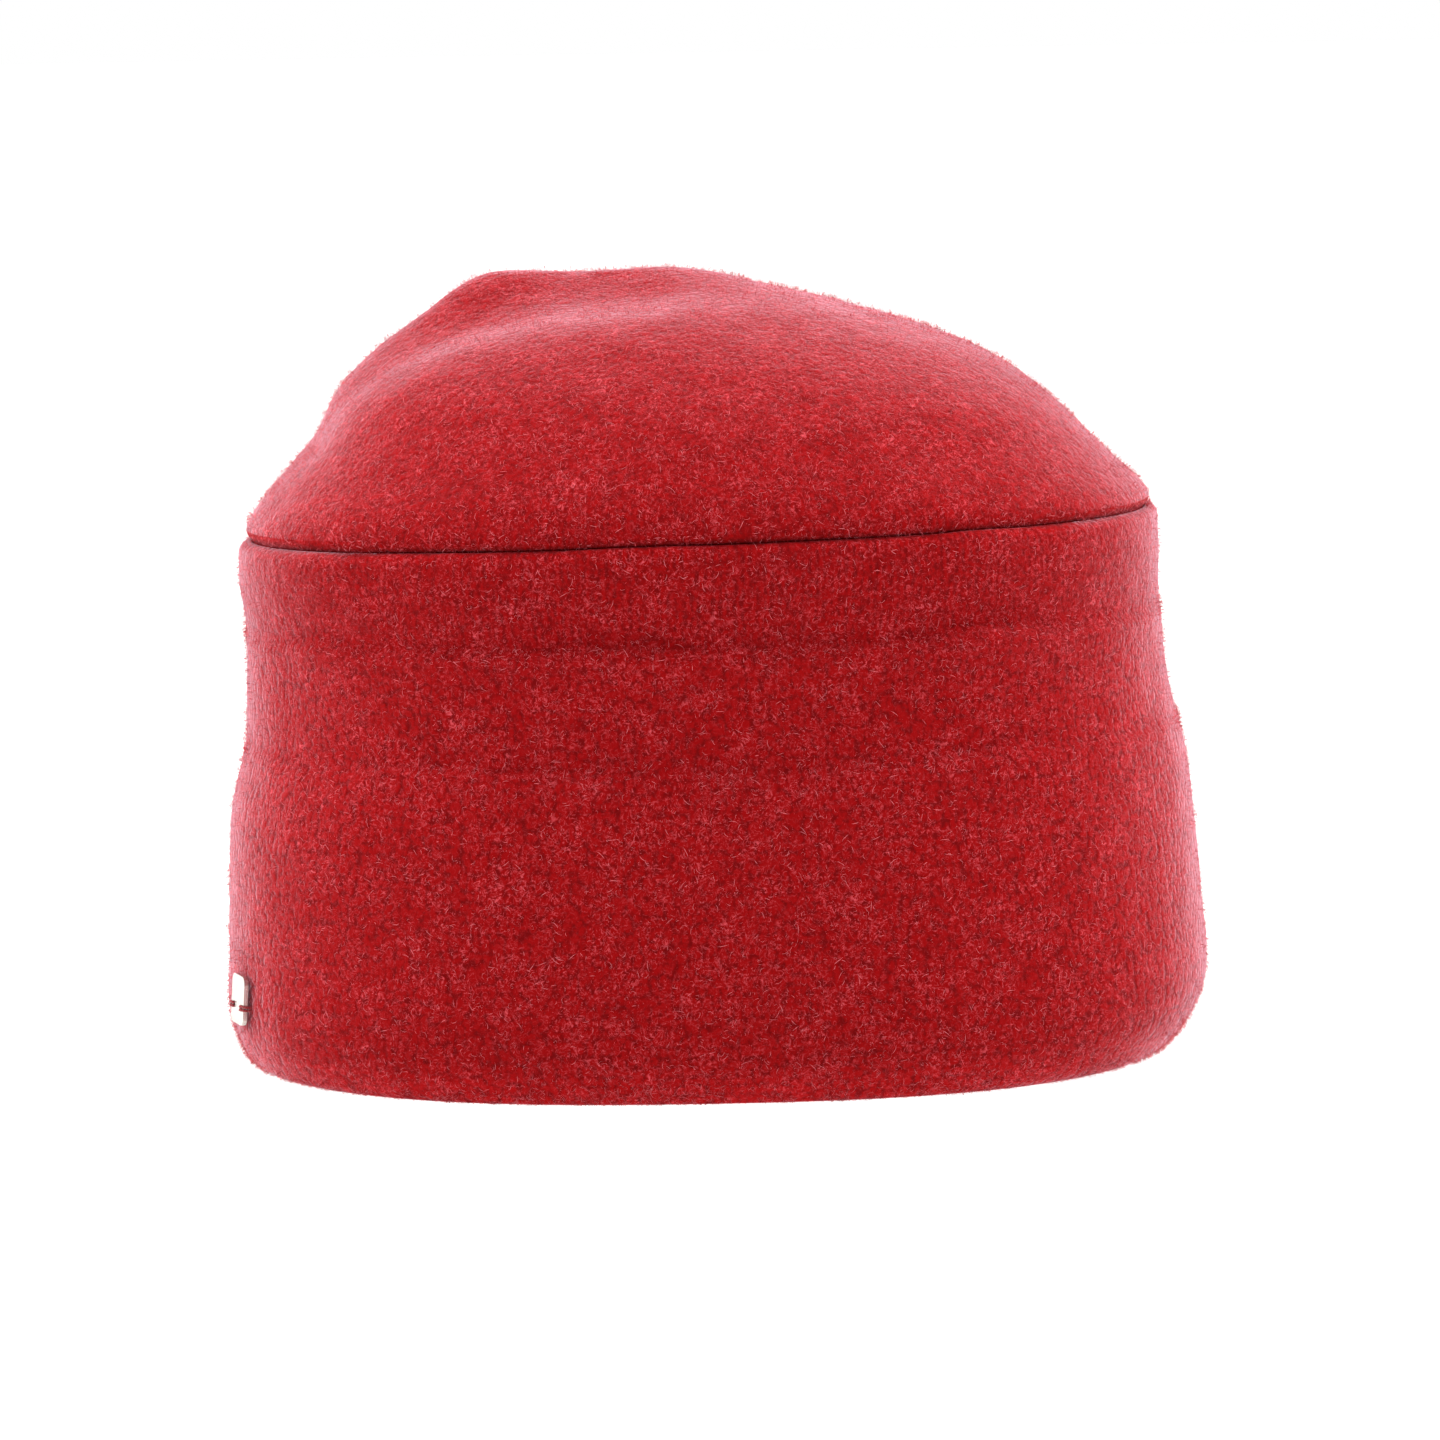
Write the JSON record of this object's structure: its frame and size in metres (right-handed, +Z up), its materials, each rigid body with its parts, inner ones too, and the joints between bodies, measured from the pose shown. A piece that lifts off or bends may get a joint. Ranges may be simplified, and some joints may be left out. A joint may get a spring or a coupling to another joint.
{
  "type": "beanie",
  "caption": "Felted wool beanie with a low slumped crown over a deep cuff and a small plain sewn-on plate; it stands on its rim, open below for a head.",
  "frame": {"origin": "middle of the hat's footprint, on the surface that its rim rests on", "axes": "+Z up towards the crown, +X along the length of the head, away from the end that carries the plate"},
  "size_m": [0.2047, 0.172, 0.1612],
  "materials": {
    "felt": "fuzzy red melange boiled wool",
    "plate": "polished nickel"
  },
  "bodies": {
    "root": {"crown": "felt", "cuff": "felt", "side_plate": "plate"}
  },
  "joints": []
}
